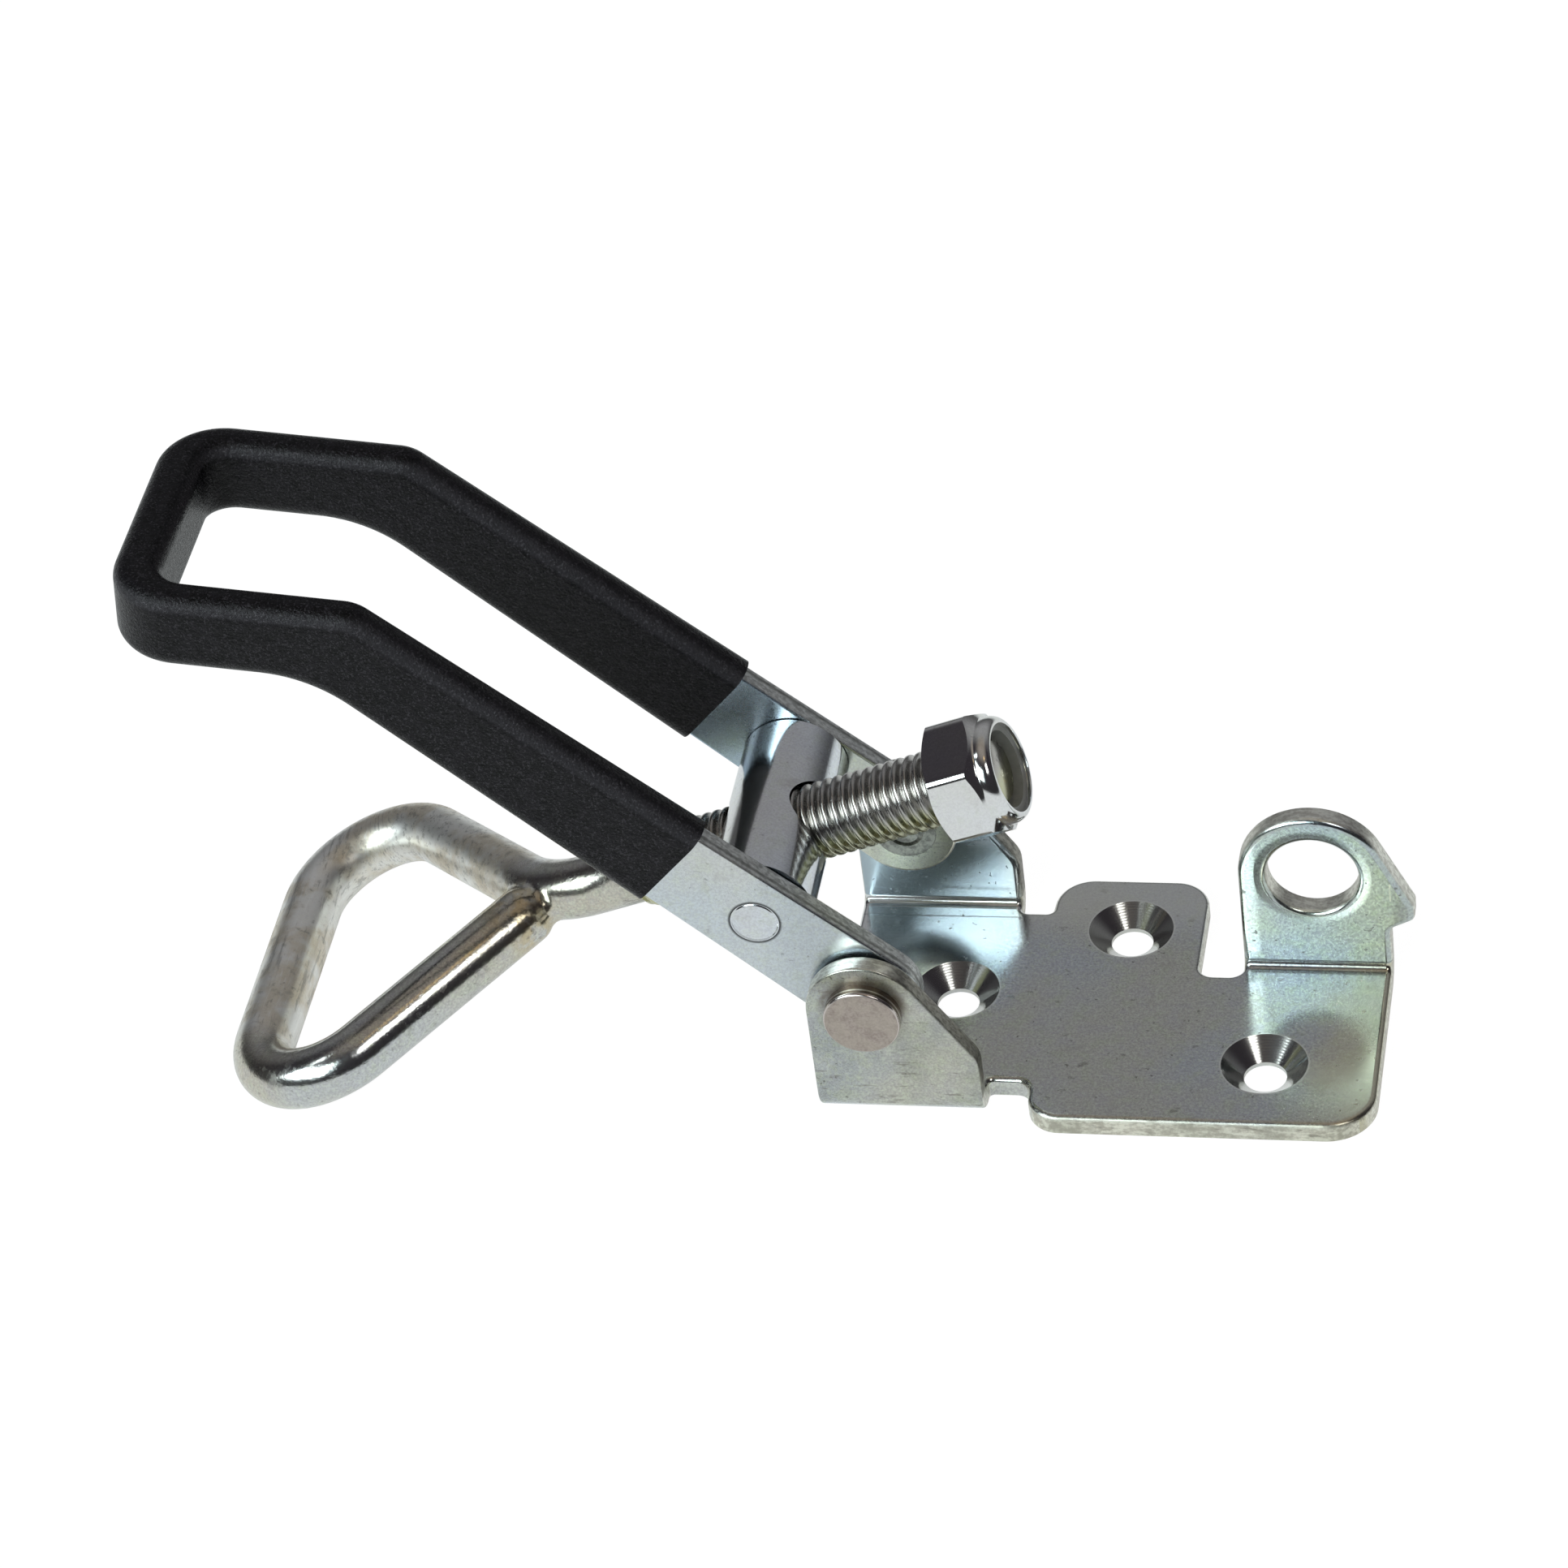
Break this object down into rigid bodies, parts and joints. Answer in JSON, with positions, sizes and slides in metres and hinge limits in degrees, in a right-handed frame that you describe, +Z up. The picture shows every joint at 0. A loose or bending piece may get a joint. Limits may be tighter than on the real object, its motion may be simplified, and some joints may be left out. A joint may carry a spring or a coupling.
{
  "type": "over centre toggle latch",
  "caption": "Over centre toggle latch: a base plate with pivot ears and a padlock lug, a bent lever with a dipped grip, and a threaded draw rod with a triangular loop.",
  "frame": {"origin": "on the underside of the base plate, below the lever pivot, midway between the pivot ears", "axes": "+X along the base plate from the pivot to the padlock lug, +Y across the plate to the side that carries the lug, +Z up from the mounting surface"},
  "size_m": [0.1877, 0.0666, 0.0974],
  "materials": {
    "zinc": "satin zinc plated steel sheet",
    "bright_zinc": "bright zinc plated steel",
    "rivet": "plain steel rivet, dull",
    "grip": "black dipped vinyl, fine grain",
    "nylon": "grey nylon, slightly translucent"
  },
  "bodies": {
    "base": {"base_plate": "zinc", "pivot_rivet_front": "rivet", "pivot_rivet_rear": "rivet"},
    "lever": {"lever": "zinc", "grip_sleeve": "grip"},
    "trunnion": {"trunnion_bar": "zinc"},
    "nut": {"lock_nut": "bright_zinc", "nylon_ring": "nylon"},
    "rod": {"draw_rod": "bright_zinc"}
  },
  "joints": [
    {"name": "lever_pivot", "type": "hinge", "parent": "base", "child": "lever", "pos_m": [0, 0, 0.0214], "axis": [0, 1, 0], "range_deg": [-36, 142]},
    {"name": "trunnion_swivel", "type": "hinge", "parent": "lever", "child": "trunnion", "pos_m": [-0.01576, 0, 0.03559], "axis": [0, 1, 0], "range_deg": [-123, 32]},
    {"name": "rod_slide", "type": "slide", "parent": "trunnion", "child": "nut", "axis": [0.937, 0, 0.3492], "range_m": [-0.0202, 0.0056]},
    {"name": "rod_turn", "type": "hinge", "parent": "nut", "child": "rod", "pos_m": [-0.01576, 0, 0.03559], "axis": [0.937, 0, 0.3492], "continuous": true}
  ],
  "couplings": [
    {"joint": "trunnion_swivel", "follows": "lever_pivot", "ratio": -0.86},
    {"joint": "rod_slide", "follows": "lever_pivot", "m_per_rad": -0.00807}
  ]
}
